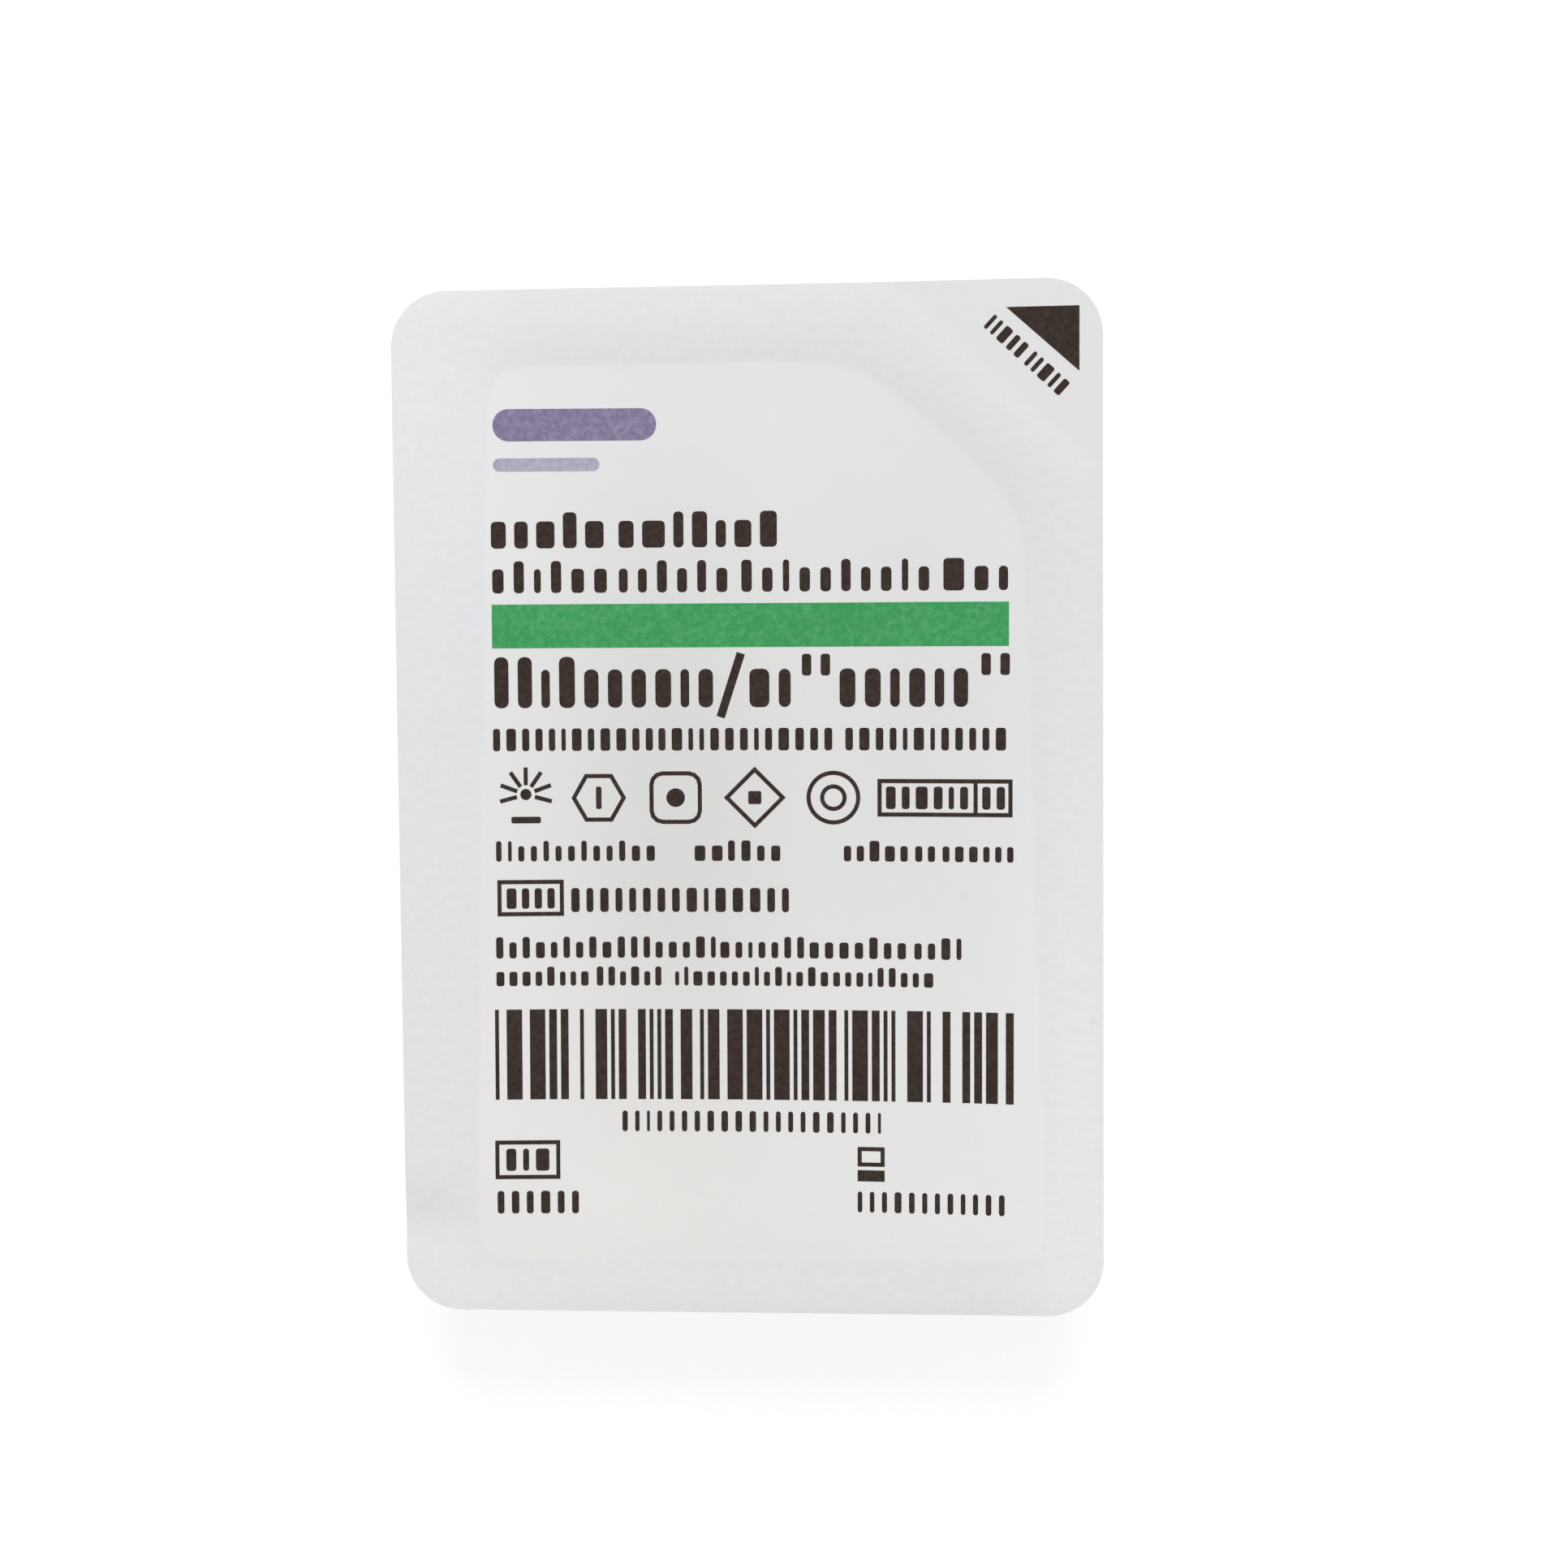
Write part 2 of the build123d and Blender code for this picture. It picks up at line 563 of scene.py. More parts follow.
def paper_material():
    """Coated medical paper: neutral on the panel, cooler and finely pitted where it is sealed."""
    material, tree, shader = new_material("medical_paper")
    seal = attribute(tree, "seal")
    pits = noise(tree, paper_pits)
    flocs = noise(tree, paper_flocs)
    fibre = noise(tree, paper_fibre, detail=3.0, roughness=0.6)
    colour = mix(tree, seal, panel_colour(tree), seal_colour(tree, pits))
    # Tones of the lid, with the painted light and shade of its corners, foot and crease
    layers = [attribute(tree, "lid_tone_and_painted_light", "Color")]
    layers.append(ramp(tree, flocs, floc_tone, 1.0))
    layers.append(ramp(tree, fibre, fibre_tone, 1.0))
    layers.extend(speck(tree, *spot) for spot in specks)
    for layer in layers:
        colour = multiply(tree, colour, layer)
    roughness = ramp(tree, seal, panel_roughness, seal_roughness, low_at=0.0, high_at=1.0)
    tree.links.new(colour, shader.inputs["Base Color"])
    tree.links.new(roughness, shader.inputs["Roughness"])
    shader.inputs["Specular IOR Level"].default_value = paper_gloss
    bump(tree, shader, mix(tree, seal, fibre, pits), paper_bump, paper_relief)
    return material


def film_material():
    """Milky formed film: streaked where it was drawn, thinner towards the floor, pitted on the flange."""
    material, tree, shader = new_material("milky_film")
    seal = attribute(tree, "seal")
    haze = noise(tree, film_haze, detail=3.0)
    pits = noise(tree, film_pits)
    streaks = noise(tree, film_streaks, detail=3.0, roughness=0.6, upright=streak_stretch)
    cloudy = ramp(tree, haze, film_dark, film_light, low_at=0.2, high_at=0.8)
    streaked = multiply(tree, cloudy, ramp(tree, streaks, streak_tone, 1.0))
    thinned = ramp(tree, height_share(tree, flange_bottom), film_thin, 1.0, low_at=0.05, high_at=0.75)
    roughness = ramp(tree, haze, film_least_roughness, film_most_roughness, low_at=0.2, high_at=0.8)
    tree.links.new(multiply(tree, streaked, thinned), shader.inputs["Base Color"])
    tree.links.new(roughness, shader.inputs["Roughness"])
    shader.inputs["IOR"].default_value = film_ior
    shader.inputs["Coat Weight"].default_value = film_coat
    shader.inputs["Coat Roughness"].default_value = film_coat_roughness
    bump(tree, shader, mix(tree, seal, streaks, pits), film_bump, film_relief)
    return material


def ink_material(name, thin, full, grain_scale=ink_grain):
    """Printed ink: the paper's grain shows through as a fine speckle."""
    material, tree, shader = new_material(name)
    grain = noise(tree, grain_scale, detail=3.0)
    speckled = ramp(tree, grain, full, thin, low_at=0.40, high_at=0.75)
    washed = multiply(tree, speckled, ramp(tree, noise(tree, ink_wash), wash_tone, 1.0))
    roughness = ramp(tree, grain, ink_least_roughness, ink_most_roughness)
    tree.links.new(washed, shader.inputs["Base Color"])
    tree.links.new(roughness, shader.inputs["Roughness"])
    shader.inputs["Specular IOR Level"].default_value = ink_gloss
    bump(tree, shader, grain, ink_bump, ink_relief)
    return material


# Meshes and pieces

def new_mesh(name, verts, faces):
    """A mesh of points and faces."""
    mesh = bpy.data.meshes.new(name)
    mesh.from_pydata([tuple(v) for v in verts], [], [tuple(f) for f in faces])
    return mesh


def new_object(name, data):
    """An object in the scene."""
    thing = bpy.data.objects.new(name, data)
    bpy.context.scene.collection.objects.link(thing)
    return thing


def add_piece(mesh, material):
    """Makes an object of a mesh, rides it on the pack and gives it its finish."""
    mesh.polygons.foreach_set("use_smooth", [True] * len(mesh.polygons))
    mesh.set_sharp_from_angle(angle=sharp_angle)
    mesh.materials.append(material)
    mesh.update()
    piece = new_object(mesh.name, mesh)
    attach(piece, BODY)
    return piece


def grid(half_x, half_y, columns, rows, radius):
    """Places over a centred rectangle, with its corners rounded if there is a radius."""
    x, y = np.meshgrid(np.linspace(-half_x, half_x, columns + 1), np.linspace(-half_y, half_y, rows + 1))
    return round_corners(x, y, half_x, half_y, radius) if radius else (x, y)


def grid_quads(shape):
    """Numbers of the points of a grid, and the quads between them."""
    index = np.arange(shape[0] * shape[1]).reshape(shape)
    corners = (index[:-1, :-1], index[:-1, 1:], index[1:, 1:], index[1:, :-1])
    return index, np.stack(corners, axis=-1).reshape(-1, 4)


# Paper lid

def store(mesh, name, values):
    """Keeps a value for each place of a sheet, on both of its faces, for its material."""
    layer = mesh.attributes.new(name, "FLOAT", "POINT")
    layer.data.foreach_set("value", np.tile(values.ravel(), 2).astype(np.float32))


def store_colour(mesh, name, colours):
    """Keeps a colour for each place of a sheet, on both of its faces, for its material."""
    layer = mesh.attributes.new(name, "FLOAT_COLOR", "POINT")
    opaque = np.concatenate((colours, np.ones(colours.shape[:2] + (1,))), axis=-1)
    layer.data.foreach_set("color", np.tile(opaque.ravel(), 2).astype(np.float32))


def closed_sheet(name, x, y, top, bottom):
    """A sheet between two heights over a grid of places, closed along its rim."""
    index, quads = grid_quads(x.shape)
    upper = np.stack((x, y, top), axis=-1).reshape(-1, 3)
    lower = np.stack((x, y, bottom), axis=-1).reshape(-1, 3)
    rim = np.concatenate((index[0, :-1], index[:-1, -1], index[-1, :0:-1], index[:0:-1, 0]))
    ahead = np.roll(rim, -1)
    sides = np.stack((ahead, rim, rim + x.size, ahead + x.size), axis=-1)
    verts = np.concatenate((upper, lower))
    faces = np.concatenate((quads, quads[:, ::-1] + x.size, sides))
    return new_mesh(name, verts.tolist(), faces.tolist())


def paper_lid():
    """The die-cut paper: a closed sheet with its embossed seal, soft panel and loose corner."""
    columns = round(2 * half_width / lid_cell)
    rows = round(2 * half_length / lid_cell)
    x, y = grid(half_width, half_length, columns, rows, pack_corner_radius)
    seal = seal_share(x, y)
    height = lid_height(x, y)
    emboss = np.random.default_rng(emboss_seed).normal(size=x.shape) * emboss_height * seal
    mesh = closed_sheet("paper_lid", x, y, height + emboss, height - paper_thickness)
    store(mesh, "seal", seal)
    # Place across the seal, by which the paper darkens towards its inner edge as painted shade
    store(mesh, "across", seal_across(x, y))
    store_colour(mesh, "panel_tone", panel_tone(x, y))
    # Tones of the lid, with its painted light and shade
    store_colour(mesh, "lid_tone_and_painted_light", soft_tone(x, y, lid_tones_and_painted_light))
    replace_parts(add_piece(mesh, paper_material()), NODE)


# Film tray, lofted through rings

def corner_arc(behind, corner, ahead, radius):
    """Points of the arc that rounds a corner, given with the corners before and after it."""
    incoming = unit(corner - behind)
    outgoing = unit(ahead - corner)
    turn = math.acos(float(np.clip(incoming @ outgoing, -1.0, 1.0)))
    start = corner - incoming * radius * math.tan(turn / 2)
    centre = start + radius * left(incoming)
    angles = math.atan2(-incoming[0], incoming[1]) + np.linspace(0.0, turn, arc_steps + 1)
    return [on_circle(centre, radius, angle) for angle in angles]


def sagging_side(start, end, sag, number):
    """Points between the ends of a side, which sags inwards and ripples by the side's number."""
    run = end - start
    inward = unit(left(run))
    turns = 2 * math.pi * (ripple_waves + ripple_step * number)
    points = []
    for k in range(1, side_steps):
        share = k / side_steps
        ripple = 1.0 + wall_ripple * math.sin(turns * share + number)
        points.append(start + run * share + inward * sag * ripple * math.sin(math.pi * share) ** 2)
    return points


def rounded_ring(corners, radii, sag=0.0):
    """Points round a convex outline: an arc at each corner, then the side to the next one."""
    corners = [np.array(corner) for corner in corners]
    behind = corners[-1:] + corners[:-1]
    ahead = corners[1:] + corners[:1]
    arcs = [corner_arc(*corner) for corner in zip(behind, corners, ahead, radii)]
    ring = []
    for number, (arc, following) in enumerate(zip(arcs, arcs[1:] + arcs[:1])):
        ring.extend(arc)
        ring.extend(sagging_side(arc[-1], following[0], sag, number))
    return ring


def pocket_corners(inset):
    """Sharp corners of the seal's inner edge, moved inwards by an inset."""
    sides = [(point + left(along) * inset, along) for point, along in seal_sides]
    return [crossing(side, ahead) for side, ahead in zip(sides, sides[1:] + sides[:1])]


def pocket_profile(offset):
    """Inset and height down the pocket from rim to floor, for the face that is set in by an offset."""
    sine = math.sin(pocket_draft)
    cosine = math.cos(pocket_draft)
    rim = pocket_rim_radius
    rim_centre = np.array((rim + rim * (sine - 1.0) / cosine, flange_bottom - rim))
    floor_run = pocket_floor_radius + (flange_bottom - pocket_floor_radius) * sine
    floor_centre = np.array((rim + floor_run / cosine, pocket_floor_radius))
    steps = np.linspace(0.0, 1.0, profile_steps)
    sweep = math.pi / 2 - pocket_draft
    rim_angles = math.pi / 2 - sweep * steps
    floor_angles = math.pi + pocket_draft + sweep * steps
    rim_arc = [on_circle(rim_centre, rim + offset, angle) for angle in rim_angles]
    floor_arc = [on_circle(floor_centre, pocket_floor_radius - offset, angle) for angle in floor_angles]
    wall = [rim_arc[-1] + (floor_arc[0] - rim_arc[-1]) * step for step in steps[1:-1]]
    return rim_arc + wall + floor_arc


def pocket_rings(offset):
    """Outline points and heights of each ring of the pocket."""
    rings = []
    for inset, height in pocket_profile(offset):
        on_wall = pocket_rim_radius + (flange_bottom - height) * math.tan(pocket_draft) + offset
        radius = max(pocket_corner_radius - offset - (inset - on_wall), tightest_corner)
        sag = wall_sag * math.sin(math.pi * np.clip(height / flange_bottom, 0.0, 1.0)) ** 2
        near_rim = smooth_step((height - flange_bottom + rim_zone) / rim_zone)
        points = rounded_ring(pocket_corners(inset), [radius] * len(seal_sides), sag)
        rings.append((points, [height - (inner_fall(p[1]) + film_gap) * near_rim for p in points]))
    return rings


def film_edge():
    """Points round the film's flange, with the peel line in the place of the loose corner."""
    lower_left = (-half_width, -half_length)
    lower_right = (half_width, -half_length)
    upper_left = (-half_width, half_length)
    corners = [lower_left, lower_right, peel_end, peel_start, upper_left]
    return rounded_ring(corners, [pack_corner_radius, pack_corner_radius, 0.0, 0.0, pack_corner_radius])


def flange_rings(edge, rim, offset):
    """Rings across the seal, from the pack's edge to the pocket's rim, under the crowned paper."""
    rings = []
    for k in range(flange_steps):
        points = [e + (r - e) * k / flange_steps for e, r in zip(edge, rim)]
        x, y = np.array(points).T
        rings.append((points, lid_height(x, y) - paper_thickness - film_gap - film_thickness + offset))
    return rings


def leaf_edge(count):
    """Points along the pack's edge round the peel corner, from the right edge to the top edge."""
    centre = np.array((half_width - pack_corner_radius, half_length - pack_corner_radius))
    angles = np.linspace(0, math.pi / 2, leaf_arc_steps + 1)
    arc = [on_circle(centre, pack_corner_radius, angle) for angle in angles]
    path = np.array([peel_end, *arc, peel_start])
    run = np.concatenate(([0.0], np.cumsum(np.linalg.norm(np.diff(path, axis=0), axis=1))))
    where = np.linspace(0.0, run[-1], count)
    return np.stack((np.interp(where, run, path[:, 0]), np.interp(where, run, path[:, 1])), axis=-1)


def leaf_hang(point):
    """Depth that the loose leaf hangs by at a place, after a soft bend at the peel line."""
    reach = max(peel_reach(*point), 0.0)
    return math.tan(peel_droop) * (math.hypot(reach, leaf_hinge) - leaf_hinge)


def add_row(form, points, heights, sealed):
    """A row of points of the film, each marked as sealed or not."""
    seal = form.verts.layers.float["seal"]
    row = [form.verts.new((p[0], p[1], h)) for p, h in zip(points, heights)]
    for vert in row:
        vert[seal] = sealed
    return row


def bridge(form, first, second, steps):
    """Faces between two rows, at the given steps along them."""
    for i in steps:
        j = (i + 1) % len(first)
        form.faces.new((first[i], first[j], second[j], second[i]))


def add_leaf(form, hinge):
    """The leaf from its hinge row on the peel line to the pack's rounded corner; gives its last row."""
    roots = [np.array(vert.co[:2]) for vert in hinge]
    tips = leaf_edge(len(hinge))
    last = hinge
    for k in range(1, leaf_rows + 1):
        points = [root + (tip - root) * k / leaf_rows for root, tip in zip(roots, tips)]
        heights = [vert.co.z - leaf_hang(point) for vert, point in zip(hinge, points)]
        row = add_row(form, points, heights, 0.0)
        bridge(form, last, row, range(side_steps))
        last = row
    return last


def film_face(form, edge, offset):
    """One face of the film, set in by an offset; gives its rows along the edge and along the leaf."""
    pocket = pocket_rings(offset)
    flange = flange_rings(edge, pocket[0][0], offset)
    rows = [add_row(form, points, heights, 1.0) for points, heights in flange]
    rows += [add_row(form, points, heights, 0.0) for points, heights in pocket]
    for first, second in zip(rows, rows[1:]):
        bridge(form, first, second, range(len(edge)))
    form.faces.new(rows[-1])
    return rows[0], add_leaf(form, rows[0][line_start:line_end + 1])


def film_tray():
    """The formed film: flange, drafted pocket and loose leaf, as one closed shell."""
    form = bmesh.new()
    form.verts.layers.float.new("seal")
    edge = film_edge()
    lower, lower_leaf = film_face(form, edge, 0.0)
    upper, upper_leaf = film_face(form, edge, film_thickness)
    # Cut edges of the film, round the flange and round the leaf
    bridge(form, lower, upper, [i for i in range(len(edge)) if not line_start <= i < line_end])
    bridge(form, lower_leaf, upper_leaf, range(side_steps))
    bmesh.ops.remove_doubles(form, verts=form.verts, dist=weld_distance)
    bmesh.ops.recalc_face_normals(form, faces=form.faces)
    mesh = bpy.data.meshes.new("film_tray")
    form.to_mesh(mesh)
    form.free()
    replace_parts(add_piece(mesh, film_material()), NODE)


# Flat shapes of the print, each as its points and its faces

def patch(x0, y0, x1, y1, radius=0.0, cell=print_cell):
    """A rectangle, with rounded corners if asked for, cut into cells so that it can follow the lid."""
    columns = max(1, math.ceil((x1 - x0) / cell))
    rows = max(1, math.ceil((y1 - y0) / cell))
    half_x = (x1 - x0) / 2
    half_y = (y1 - y0) / 2
    x, y = grid(half_x, half_y, columns, rows, radius)
    points = list(zip(x.ravel() + x0 + half_x, y.ravel() + y0 + half_y))
    return points, [tuple(quad) for quad in grid_quads(x.shape)[1].tolist()]


def block(x0, y0, x1, y1, radius):
    """A small rectangle with rounded corners, as one face."""
    radius = min(radius, (x1 - x0) / roundest, (y1 - y0) / roundest)
    right, top = x1 - radius, y1 - radius
    corners = ((right, top), (x0 + radius, top), (x0 + radius, y0 + radius), (right, y0 + radius))
    points = []
    for quarter, corner in enumerate(corners):
        for k in range(round_steps + 1):
            angle = math.pi / 2 * (quarter + k / round_steps)
            points.append(tuple(on_circle(np.array(corner), radius, angle)))
    return points, [tuple(range(len(points)))]


def block_at(x, y, half_x, half_y, radius):
    """A small rectangle with rounded corners, given by its middle."""
    return block(x - half_x, y - half_y, x + half_x, y + half_y, radius)


def ring_points(x, y, radius, count):
    """Points round a circle or, with a low count, the corners of a regular outline."""
    turns = np.arange(count) / count * 2 * math.pi
    return [tuple(on_circle(np.array((x, y)), radius, turn)) for turn in turns]


def disc(x, y, radius):
    """A filled circle, as one face."""
    points = ring_points(x, y, radius, disc_points)
    return points, [tuple(range(len(points)))]


def triangle(a, b, c, steps=8):
    """A filled triangle, given anticlockwise, cut into cells."""
    a, b, c = np.array(a), np.array(b), np.array(c)
    points = []
    rows = []
    for r in range(steps + 1):
        rows.append(range(len(points), len(points) + steps + 1 - r))
        points.extend(tuple(a + (b - a) * k / steps + (c - a) * r / steps) for k in range(steps + 1 - r))
    faces = []
    for r in range(steps):
        for k in range(steps - r):
            faces.append((rows[r][k], rows[r][k + 1], rows[r + 1][k]))
            if k < steps - r - 1:
                faces.append((rows[r][k + 1], rows[r + 1][k + 1], rows[r + 1][k]))
    return points, faces


def stroke(start, end, width):
    """A straight line of even width."""
    start = np.array(start)
    run = np.array(end) - start
    length = np.linalg.norm(run)
    side = left(run) / length * width / 2
    cuts = math.ceil(length / print_cell)
    middle = [start + run * k / cuts for k in range(cuts + 1)]
    points = [tuple(p - side) for p in middle] + [tuple(p + side) for p in middle]
    return points, [(k, k + 1, cuts + 2 + k, cuts + 1 + k) for k in range(cuts)]


def outline(corners, width):
    """A closed line of even width along an anticlockwise outline, with mitred corners."""
    corners = [np.array(corner) for corner in corners]
    path = []
    for a, b in zip(corners, corners[1:] + corners[:1]):
        cuts = math.ceil(np.linalg.norm(b - a) / print_cell)
        path.extend(a + (b - a) * k / cuts for k in range(cuts))
    count = len(path)
    outer = []
    inner = []
    for i, point in enumerate(path):
        side = -left(unit(point - path[i - 1]))
        mitre = side - left(unit(path[(i + 1) % count] - point))
        reach = mitre / (mitre @ side) * width / 2
        outer.append(tuple(point + reach))
        inner.append(tuple(point - reach))
    return outer + inner, [(i, (i + 1) % count, count + (i + 1) % count, count + i) for i in range(count)]


def box(x0, y0, x1, y1, width):
    """An outlined rectangle, measured over its line."""
    x0, y0, x1, y1 = x0 + width / 2, y0 + width / 2, x1 - width / 2, y1 - width / 2
    return outline(((x0, y0), (x1, y0), (x1, y1), (x0, y1)), width)


def word(x0, x1, base, cap, weight, even=False, pitch=letter_pitch):
    """A row of letter-sized blocks that spells nothing."""
    width = x1 - x0
    height = cap - base
    step = pitch * height
    count = max(1, round(width / step))
    shares = [letters.choice(letter_shares) for _ in range(count)]
    gap = (1.0 - weight) * step
    scale = (width - gap * (count - 1)) / sum(shares)
    shapes = []
    for share in shares:
        top = cap if even or letters.random() < tall_part else base + short_height * height
        shapes.append(block(x0, base, x0 + share * scale, top, letter_rounding * height))
        x0 += share * scale + gap
    return shapes


def line(words, base, cap, weight, even=False, pitch=letter_pitch):
    """Several such rows on one line, each from its start to its end, in millimetres."""
    shapes = []
    for x0, x1 in words:
        shapes.extend(word(x0 * MM, x1 * MM, base * MM, cap * MM, weight, even, pitch))
    return shapes


# Places of the print on the lid

def label_point(x, y):
    """Place of a print position on the lid, with the web's slight turn and bow."""
    above = y - turn_level
    return x + print_turn * above, y - print_turn * x + bow_rate * above * (x / bow_reach) ** 2


def lid_point(x, y):
    """Place of a print position that is given straight on the lid."""
    return x, y


def peel_point(x, y):
    """Place beside the peel mark, along a slanted line."""
    along = np.array((math.cos(peel_print_slant), math.sin(peel_print_slant)))
    return tuple(np.array(peel_print_start) + along * x + left(along) * y)


def print_piece(name, shapes, ink, place=label_point):
    """Joins flat shapes into one thin closed piece that lies on the lid, in an ink."""
    verts = []
    faces = []
    for points, polygons in shapes:
        flat = np.array([place(*p) for p in points])
        top = lid_height(flat[:, 0], flat[:, 1]) + ink_thickness
        start = len(verts)
        count = len(points)
        verts.extend(zip(flat[:, 0], flat[:, 1], top))
        verts.extend(zip(flat[:, 0], flat[:, 1], top - ink_thickness - ink_sink))
        edges = set()
        for face in polygons:
            faces.append([start + i for i in face])
            faces.append([start + count + i for i in reversed(face)])
            edges.update(zip(face, face[1:] + face[:1]))
        for a, b in sorted(edges):
            if (b, a) not in edges:
                faces.append([start + b, start + a, start + count + a, start + count + b])
    material, slot = ink
    add_piece(new_mesh(name, verts, faces), material)


# Layout of the print

def mark_bar():
    """A plain bar with round ends at the head of the label."""
    return [patch(*mm(-27.0, 38.8, -9.4, 42.2), radius=1.7 * MM, cell=0.34 * MM)]


def mark_line():
    """A thinner bar with round ends below the first."""
    return [patch(*mm(-27.0, 35.6, -15.5, 37.0), radius=0.7 * MM, cell=0.28 * MM)]


def title_blocks():
    """Two lines of blocks, the first one taller."""
    first = ((-27.3, -15.1), (-13.5, 3.4))
    second = ((-27.2, -14.8), (-13.5, -1.9), (-0.4, 19.5), (21.0, 27.8))
    shapes = line(first, base=27.45, cap=31.25, weight=0.60)
    return shapes + line(second, base=22.7, cap=26.1, weight=0.46)


def green_field():
    """A plain band across the label."""
    return [patch(*mm(-27.3, 16.85, 27.9, 21.5))]


def size_blocks():
    """A line of tall narrow blocks, with a slash and two pairs of ticks."""
    words = ((-27.1, -3.5), (0.4, 4.8), (10.0, 23.6))
    shapes = line(words, base=10.45, cap=15.9, weight=0.58, pitch=0.44)
    shapes.append(stroke(mm(-2.7, 9.4), mm(-0.5, 16.2), width=0.9 * MM))
    for x in (6.0, 8.0, 25.0, 27.0):
        shapes.append(block(*mm(x, 13.8, x + 1.0, 16.1), radius=0.3 * MM))
    return shapes


def spec_blocks():
    """A line of blocks of even height."""
    words = ((-27.3, -10.0), (-9.4, 9.2), (10.6, 27.6))
    return line(words, base=5.85, cap=8.25, weight=0.53, even=True)


def sun_symbol(x, y):
    """Seven rays round a dot, with a bar below."""
    centre = np.array((x, y))
    ray_start, ray_end, bar_drop = mm(1.0, 2.9, 2.75)
    shapes = []
    for degrees in range(-15, 196, 35):
        angle = math.radians(degrees)
        shapes.append(stroke(on_circle(centre, ray_start, angle), on_circle(centre, ray_end, angle), pen))
    shapes.append(disc(x, y, radius=0.6 * MM))
    shapes.append(block_at(x, y - bar_drop, half_x=1.6 * MM, half_y=0.35 * MM, radius=symbol_rounding))
    return shapes


def hexagon_symbol(x, y):
    """An upright bar in a hexagon."""
    hexagon = ring_points(x, y, radius=2.7 * MM, count=6)
    return [outline(hexagon, pen), block_at(x, y, 0.3 * MM, 1.2 * MM, symbol_rounding)]


def square_symbol(x, y):
    """A dot in a rounded square."""
    square = block_at(x, y, 2.6 * MM, 2.6 * MM, radius=1.2 * MM)[0]
    return [outline(square, pen), disc(x, y, radius=1.0 * MM)]


def diamond_symbol(x, y):
    """A small square in a diamond."""
    diamond = ring_points(x, y, radius=3.0 * MM, count=4)
    return [outline(diamond, pen), block_at(x, y, 0.7 * MM, 0.7 * MM, symbol_rounding)]


def ring_symbol(x, y):
    """Two rings, one in the other."""
    outer = ring_points(x, y, radius=2.65 * MM, count=40)
    inner = ring_points(x, y, radius=1.2 * MM, count=28)
    return [outline(outer, pen), outline(inner, pen)]


def framed_blocks():
    """Two rows of blocks in a frame, with a line between them."""
    shapes = [box(*mm(14.0, -1.2, 28.3, 2.8), pen)]
    shapes += line(((14.9, 23.6),), base=-0.4, cap=2.0, weight=0.55, even=True)
    shapes.append(stroke(mm(24.4, -0.8), mm(24.4, 2.4), pen))
    return shapes + line(((25.1, 27.5),), base=-0.4, cap=2.0, weight=0.55, even=True)


def symbol_row():
    """Five plain symbols and the framed blocks, side by side."""
    level = 0.8
    sun_level = 1.2
    shapes = sun_symbol(*mm(-23.8, sun_level))
    shapes += hexagon_symbol(*mm(-15.9, level))
    shapes += square_symbol(*mm(-7.6, level))
    shapes += diamond_symbol(*mm(0.9, level))
    shapes += ring_symbol(*mm(9.3, level))
    return shapes + framed_blocks()


def note_blocks():
    """Small blocks below the symbols, in a left and a right group."""
    left_words = ((-27.1, -9.9), (-5.6, -2.6), (-2.0, 3.6))
    right_words = ((10.4, 17.2), (18.0, 20.1), (20.9, 28.4))
    shapes = line(left_words, base=-6.0, cap=-3.8, weight=0.46)
    return shapes + line(right_words, base=-6.0, cap=-3.8, weight=0.55)


def tag_upper():
    """A framed tag, and a row of blocks beside it."""
    shapes = [box(*mm(-27.0, -11.9, -19.8, -8.0), pen)]
    shapes += line(((-26.0, -20.8),), base=-11.1, cap=-8.9, weight=0.55, even=True)
    return shapes + line(((-19.0, 4.5),), base=-11.5, cap=-8.9, weight=0.52, even=True)


def address_blocks():
    """Two lines of small blocks."""
    first = ((-27.2, -14.7), (-14.0, -10.5), (-9.9, -3.4), (-2.9, 6.1), (6.7, 17.0), (17.9, 22.9))
    second = ((-27.2, -20.9), (-20.3, -17.2), (-16.3, -9.3), (-7.8, 19.9))
    shapes = line(first, base=-16.45, cap=-14.15, weight=0.52)
    return shapes + line(second, base=-19.45, cap=-17.4, weight=0.55)


def bar_field():
    """A row of bars from a seeded draw, which encodes nothing."""
    draw = random.Random(bar_seed)
    base, cap = mm(-31.75, -22.0)
    x, end = mm(-27.4, 28.5)
    shapes = []
    while x < end:
        stop = min(x + bar_module * draw.choice(bar_widths), end)
        if stop - x > bar_module / 2:
            shapes.append(patch(x, base, stop, cap))
        x = stop + bar_module * draw.choice(bar_gaps)
    return shapes


def number_blocks():
    """A row of blocks below the bars."""
    return line(((-13.6, 14.3),), base=-35.25, cap=-33.0, weight=0.40, even=True)


def tag_lower():
    """A framed tag, and a row of blocks below it."""
    shapes = [box(*mm(-27.5, -40.4, -20.4, -36.2), pen)]
    shapes += line(((-26.3, -21.6),), base=-39.5, cap=-37.1, weight=0.48, even=True)
    return shapes + line(((-27.3, -18.4),), base=-44.15, cap=-41.7, weight=0.44, even=True)


def date_blocks():
    """A small box over a bar, and a row of blocks below them."""
    shapes = [box(*mm(11.8, -38.8, 14.7, -36.7), pen), patch(*mm(11.8, -40.4, 14.7, -39.2))]
    return shapes + line(((11.8, 27.5),), base=-43.75, cap=-41.5, weight=0.40, even=True)


def peel_mark():
    """A triangle in the loose corner."""
    return [triangle(mm(27.7, 52.1), mm(35.3, 45.35), mm(35.3, 52.1))]


def peel_blocks():
    """Two rows of blocks along the triangle."""
    return line(((0.0, 4.9), (5.7, 10.7)), base=0.0, cap=1.8, weight=0.58, even=True)


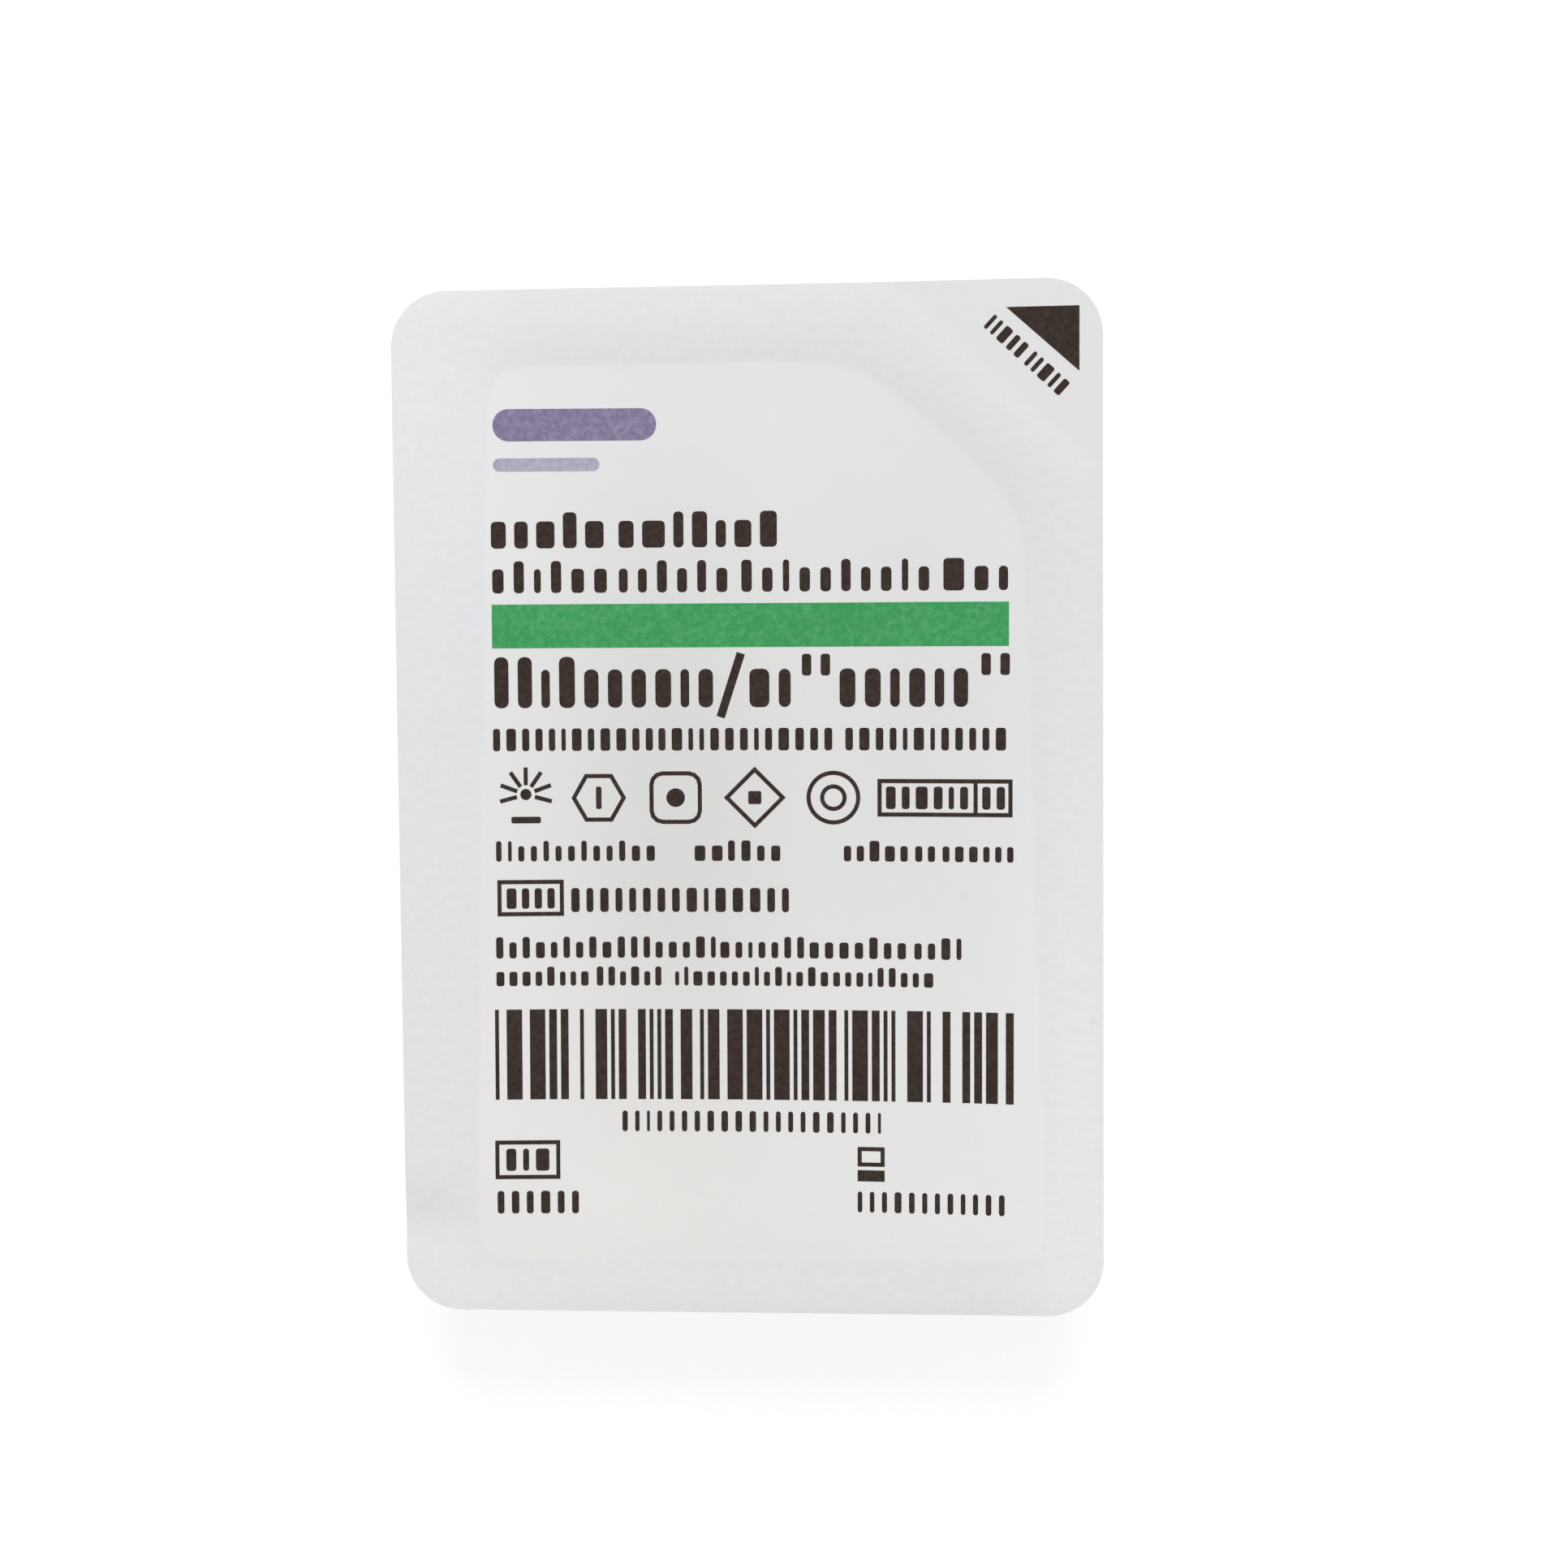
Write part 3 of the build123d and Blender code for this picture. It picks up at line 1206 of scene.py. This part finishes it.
def print_label():
    """Prints every piece in its ink, under its function's name; the letters are drawn in this order."""
    black = (ink_material("black_ink", black_thin, black_full), "black_ink")
    green = (ink_material("green_ink", green_thin, green_full, green_grain), "green_ink")
    violet = (ink_material("violet_ink", violet_thin, violet_full), "violet_ink")
    pale_violet = (ink_material("pale_violet_ink", pale_thin, pale_full), "violet_ink")
    pieces = [
        (mark_bar, violet),
        (mark_line, pale_violet),
        (title_blocks, black),
        (green_field, green),
        (size_blocks, black),
        (spec_blocks, black),
        (symbol_row, black),
        (note_blocks, black),
        (tag_upper, black),
        (address_blocks, black),
        (bar_field, black),
        (number_blocks, black),
        (tag_lower, black),
        (date_blocks, black),
    ]
    for shapes, ink in pieces:
        print_piece(shapes.__name__, shapes(), ink)
    print_piece("peel_mark", peel_mark(), black, lid_point)
    print_piece("peel_blocks", peel_blocks(), black, peel_point)


# Stage, light and camera

def seen_directly(tree):
    """One for what the camera sees itself, in a mirror or through glass, zero for light on the pack."""
    path = tree.nodes.new("ShaderNodeLightPath")
    seen = path.outputs["Is Camera Ray"]
    for name in ("Is Glossy Ray", "Is Transmission Ray"):
        either = tree.nodes.new("ShaderNodeMath")
        either.operation = "MAXIMUM"
        tree.links.new(seen, either.inputs[0])
        tree.links.new(path.outputs[name], either.inputs[1])
        seen = either.outputs["Value"]
    return seen


def floor_material():
    """Plain white for the light on the pack; where it is seen, a glow that a shadow still darkens."""
    material = bpy.data.materials.new("white_floor")
    tree = empty_tree(material)
    output = tree.nodes.new("ShaderNodeOutputMaterial")
    white = tree.nodes.new("ShaderNodeBsdfDiffuse")
    white.inputs["Color"].default_value = as_colour(floor_white)
    faint = tree.nodes.new("ShaderNodeBsdfDiffuse")
    faint.inputs["Color"].default_value = as_colour(floor_faint)
    glow = tree.nodes.new("ShaderNodeEmission")
    glow.inputs["Strength"].default_value = floor_glow
    seen = tree.nodes.new("ShaderNodeAddShader")
    surface = tree.nodes.new("ShaderNodeMixShader")
    tree.links.new(faint.outputs["BSDF"], seen.inputs[0])
    tree.links.new(glow.outputs["Emission"], seen.inputs[1])
    tree.links.new(seen_directly(tree), surface.inputs["Fac"])
    tree.links.new(white.outputs["BSDF"], surface.inputs[1])
    tree.links.new(seen.outputs["Shader"], surface.inputs[2])
    tree.links.new(surface.outputs["Shader"], output.inputs["Surface"])
    return material


def stage():
    """A pale floor that renders white and keeps a faint shadow of the pack."""
    sides = ((-1, -1), (1, -1), (1, 1), (-1, 1))
    corners = [(u * floor_reach, v * floor_reach, floor_level) for u, v in sides]
    mesh = new_mesh("floor", corners, [(0, 1, 2, 3)])
    mesh.materials.append(floor_material())
    floor = new_object("floor", mesh)


def surround():
    """An even white surround, brighter where it is seen than as light on the pack."""
    world = bpy.data.worlds.new("studio")
    bpy.context.scene.world = world
    tree = empty_tree(world)
    output = tree.nodes.new("ShaderNodeOutputWorld")
    background = tree.nodes.new("ShaderNodeBackground")
    background.inputs["Color"].default_value = as_colour(1.0)
    strength = tree.nodes.new("ShaderNodeMapRange")
    strength.inputs["To Min"].default_value = surround_light
    strength.inputs["To Max"].default_value = surround_seen
    tree.links.new(seen_directly(tree), strength.inputs["Value"])
    tree.links.new(strength.outputs["Result"], background.inputs["Strength"])
    tree.links.new(background.outputs["Background"], output.inputs["Surface"])


def lamp():
    """One large soft lamp beyond the head of the pack, aimed at it."""
    data = bpy.data.lights.new("soft_lamp", "AREA")
    data.shape = "SQUARE"
    data.size = lamp_size
    data.energy = lamp_power
    soft_lamp = new_object("soft_lamp", data)
    soft_lamp.location = lamp_place
    soft_lamp.rotation_euler = (-soft_lamp.location).to_track_quat("-Z", "Y").to_euler()


def camera():
    """Looks down on the lid, a little from its upper right."""
    data = bpy.data.cameras.new("camera")
    data.lens = camera_lens
    data.sensor_width = camera_sensor
    data.clip_start = camera_near
    eye = new_object("camera", data)
    eye.location = camera_place
    eye.rotation_euler = [math.radians(angle) for angle in camera_angles]
    bpy.context.scene.camera = eye


paper_lid()
film_tray()
print_label()
stage()
surround()
lamp()
camera()
bpy.context.scene.view_settings.view_transform = "Standard"
